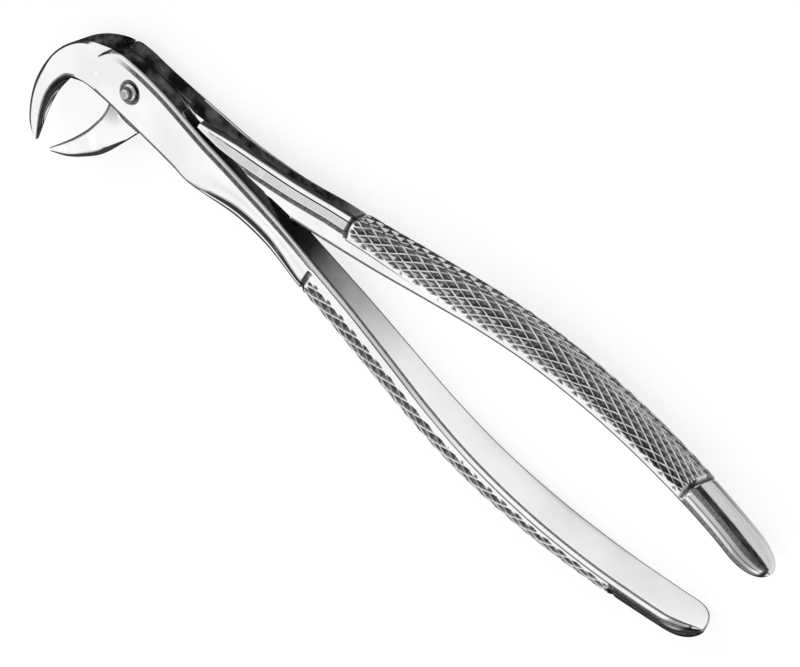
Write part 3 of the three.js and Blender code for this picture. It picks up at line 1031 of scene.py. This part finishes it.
def make_screw():
    """The pivot screw: a plain stem, a barrel, a domed head and the riveted stub on it."""
    foot = -PLATE_FACE + 0.05
    stem, barrel = 1.44, 1.66
    # The third column is painted shade: dark rings at the barrel, the foot and top of the dome and the stub's
    # neck, and a grey stub end, standing for the dark reflections round the head.
    profile = [(0, foot, 0), (1.36, foot, 0), (stem, foot + 0.08, 0.6)]  # radius, z and painted shade
    profile += [(stem, -LAP_GAP, 0.6), (barrel, -LAP_GAP, 0.6)]
    profile += [(barrel, PLATE_FACE, 1.0), (barrel, PLATE_FACE + 0.1, 0.9)]
    dome = np.radians(np.linspace(0, 78, 14))
    for i, a in enumerate(dome):
        shade = 0.95 if i < 3 or i > 10 else 0.0
        profile.append((1.0 + 0.66 * math.cos(a), PLATE_FACE + 0.1 + 0.6 * math.sin(a), shade))
    neck = PLATE_FACE + 0.62
    profile += [(1.02, neck + 0.03, 0.9), (0.96, neck, 1.0), (0.9, neck + 0.04, 0.8)]
    profile += [(0.88, neck + 0.2, 0.3), (0.87, neck + 0.6, 0.1)]
    crown = np.radians(np.linspace(0, 82, 8))
    profile += [(0.67 + 0.2 * math.cos(a), neck + 0.62 + 0.2 * math.sin(a), 0.1) for a in crown]
    profile += [(0.5, neck + 0.824, 0.55), (0, neck + 0.826, 0.55)]
    profile = np.array(profile)
    piece = turned("pivot_screw_steel", profile[:, :2].tolist(), SEGMENTS, profile[:, 2])
    finish_mesh(piece, 30)
    piece.data.materials.append(steel("screw_steel", **SCREW_STEEL))
    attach(piece, "rear_body")
    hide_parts("pivot_screw")


# Stage

FLOOR_HALF = 12.0
# The reflection card is painted shade, black and seen only in the steel; PATCH_LEVEL and PATCH_GLOW make its
# patch lighter and glowing, painted light.
CARD_HALF = 1.5
CARD_HEIGHT = 0.0002
PATCH_AHEAD = (0.040, 0.066)  # the patch of painted light on the card comes in between these distances ahead of the hinge
PATCH_SIDES = ((-0.014, -0.010), (0.016, 0.012))  # and between these, from dark to light, to its sides
PATCH_LEVEL = 0.85
PATCH_GLOW = 0.42
REAR_OUTLINE = [  # the rear handle's outer wall
    (9, 4.4), (13, 4.55), (22, 5.2), (34.4, 6.6), (46, 8.6), (60, 11.6),
    (80, 15.6), (100, 17.4), (118, 17.2), (134, 14.6), (152, 10.0),
]


def flat_material(name, colour, emission):
    material = bpy.data.materials.new(name)
    n = Nodes(material)
    glow = {"Emission Color": (1, 1, 1, 1), "Emission Strength": emission}
    shader = n.add("ShaderNodeBsdfPrincipled", {"Base Color": (*colour, 1), "Roughness": 0.9, **glow})
    n.add("ShaderNodeOutputMaterial", {"Surface": shader.outputs[0]})
    return material


def square(name, half, height):
    corners = [(-half, -half), (half, -half), (half, half), (-half, half)]
    return mesh_object(name, [(x, y, height) for x, y in corners], [(0, 1, 2, 3)])


def only_in_reflections(piece):
    piece.visible_camera = False
    piece.visible_diffuse = False
    piece.visible_shadow = False
    piece.visible_transmission = False


def make_floor():
    floor = square("floor", FLOOR_HALF, 0)
    floor.data.materials.append(flat_material("pale_floor", (0.3, 0.3, 0.3), 0.78))


def make_reflection_card():
    """What the steel sees of the table, painted: black for painted shade, with a lighter, glowing patch of
    painted light between and beyond the handles.
    """
    card = square("dark_reflection_card", CARD_HALF, CARD_HEIGHT)
    material = bpy.data.materials.new("dark_reflection_card")
    n = Nodes(material)
    place = n.add("ShaderNodeNewGeometry").outputs["Position"]
    axes = n.add("ShaderNodeSeparateXYZ", {0: place})
    x, y = axes.outputs["X"], axes.outputs["Y"]
    ahead = n.range(x, HINGE.x + PATCH_AHEAD[0], HINGE.x + PATCH_AHEAD[1], 0.0, 1.0)
    offset = n.math("SUBTRACT", y, HINGE.y)
    inside = n.math("MULTIPLY", *(n.range(offset, *side, 0.0, 1.0) for side in PATCH_SIDES))
    patch = n.math("MULTIPLY", ahead, inside)
    shapes = n.noise(place, 260.0, 3.0, 0.6)
    clouds = n.math("MULTIPLY", n.range(shapes, 0.42, 0.68, 0.008, 0.16), n.math("SUBTRACT", 1.0, patch))
    level = n.math("ADD", clouds, n.math("MULTIPLY", patch, PATCH_LEVEL))
    colour = n.add("ShaderNodeCombineColor", {0: level, 1: level, 2: level}).outputs[0]
    glow = {"Emission Color": (1, 1, 1, 1), "Emission Strength": n.math("MULTIPLY", patch, PATCH_GLOW)}
    dull = {"Roughness": 0.9, "Specular IOR Level": 0.0}
    shader = n.add("ShaderNodeBsdfPrincipled", {"Base Color": colour, **dull, **glow})
    n.add("ShaderNodeOutputMaterial", {"Surface": shader.outputs[0]})
    card.data.materials.append(material)
    only_in_reflections(card)


def make_ribbon(name, outline, near, far, level):
    """A pale, glowing strip on the table beside the rear handle, seen only in the steel's reflections:
    painted light.
    """
    points = []
    for beside in (near, far):
        points += [(HINGE.x + x * MM, HINGE.y + (y + beside) * MM, 2 * CARD_HEIGHT) for x, y in outline]
    count = len(outline)
    faces = [(i, i + 1, count + i + 1, count + i) for i in range(count - 1)]
    ribbon = mesh_object(name, points, faces)
    ribbon.data.materials.append(flat_material(name, (level, level, level), level * 0.5))
    only_in_reflections(ribbon)


def make_stage():
    make_floor()
    # Painted shade and painted light, seen only in the steel: the black card and the pale strips.
    make_reflection_card()
    # Painted light: a narrow pale strip for the light line along the rear handle's edge, and a wider, greyer
    # one further out.
    make_ribbon("ribbon", REAR_OUTLINE, 0.05, 0.75, 0.95)
    make_ribbon("card", REAR_OUTLINE[5:], 0.9, 6.0, 0.75)


CAMERA_BACK = Vector((0.4152, 0.5411, 0.7314))  # from the forceps to the camera
CAMERA_RIGHT = Vector((0.6897, 0.3370, -0.6409))
CAMERA_UP = Vector((-0.5932, 0.7705, -0.2332))
CAMERA_DISTANCE = 5.185
MIDDLE_DEPTH = 0.027  # the middle of the forceps is this much nearer than the hinge
VIEW_WIDTH = 0.13333  # at the middle of the forceps
AIM = (42.85 * MM, -41.45 * MM)  # from the hinge to the middle of the view, right and up
SENSOR = 36.0


def make_camera():
    data = bpy.data.cameras.new("camera")
    data.sensor_width = SENSOR
    data.lens = SENSOR * CAMERA_DISTANCE / VIEW_WIDTH
    data.clip_start = 0.1
    data.clip_end = 50
    camera = bpy.data.objects.new("camera", data)
    bpy.context.scene.collection.objects.link(camera)
    target = HINGE + CAMERA_RIGHT * AIM[0] + CAMERA_UP * AIM[1]
    turn = Matrix((CAMERA_RIGHT, CAMERA_UP, CAMERA_BACK)).transposed().to_4x4()
    camera.matrix_world = Matrix.Translation(target + CAMERA_BACK * (CAMERA_DISTANCE + MIDDLE_DEPTH)) @ turn
    bpy.context.scene.camera = camera


TENT_STRENGTH = 1.12
TENT_EDGE = (0.26, 0.5)  # upwards, the tent turns from dark to white between these heights
TENT_LOWER = (-0.1, 0.4, 0.26)  # towards +y, between the first two, it does so this much lower
TENT_DARK = 0.04
OPENING = (0.62, 0.9, 0.42)  # the opening round the camera, as cosines, and its brightness
TABLE_LEVEL = 0.87  # below the horizon


def make_light():
    """A white tent, darker low down on the side away from the camera, and where the camera looks in."""
    world = bpy.data.worlds.new("studio")
    bpy.context.scene.world = world
    n = Nodes(world)
    way = n.add("ShaderNodeTexCoord").outputs["Generated"]
    axes = n.add("ShaderNodeSeparateXYZ", {0: way})
    z, y = axes.outputs["Z"], axes.outputs["Y"]
    lifted = n.math("ADD", z, n.range(y, *TENT_LOWER[:2], 0.0, TENT_LOWER[2]))
    white = n.range(lifted, *TENT_EDGE, 0.0, 1.0, interpolation_type="SMOOTHSTEP")
    toward = n.add("ShaderNodeVectorMath", {0: way, 1: CAMERA_BACK}, operation="DOT_PRODUCT").outputs["Value"]
    opening = n.range(toward, *OPENING[:2], 1.0, OPENING[2], interpolation_type="SMOOTHSTEP")
    above = n.math("MULTIPLY", n.range(white, 0.0, 1.0, TENT_DARK, 1.0), opening)
    below = n.math("LESS_THAN", z, -0.002)
    level = n.math("MAXIMUM", above, n.math("MULTIPLY", below, TABLE_LEVEL))
    colour = n.add("ShaderNodeCombineColor", {0: level, 1: level, 2: level}).outputs[0]
    shade = n.add("ShaderNodeBackground", {"Color": colour, "Strength": TENT_STRENGTH})
    n.add("ShaderNodeOutputWorld", {"Surface": shade.outputs[0]})
    bpy.context.scene.view_settings.view_transform = "Standard"


make_camera()
make_light()
make_front_half()
make_rear_half()
make_screw()
make_stage()
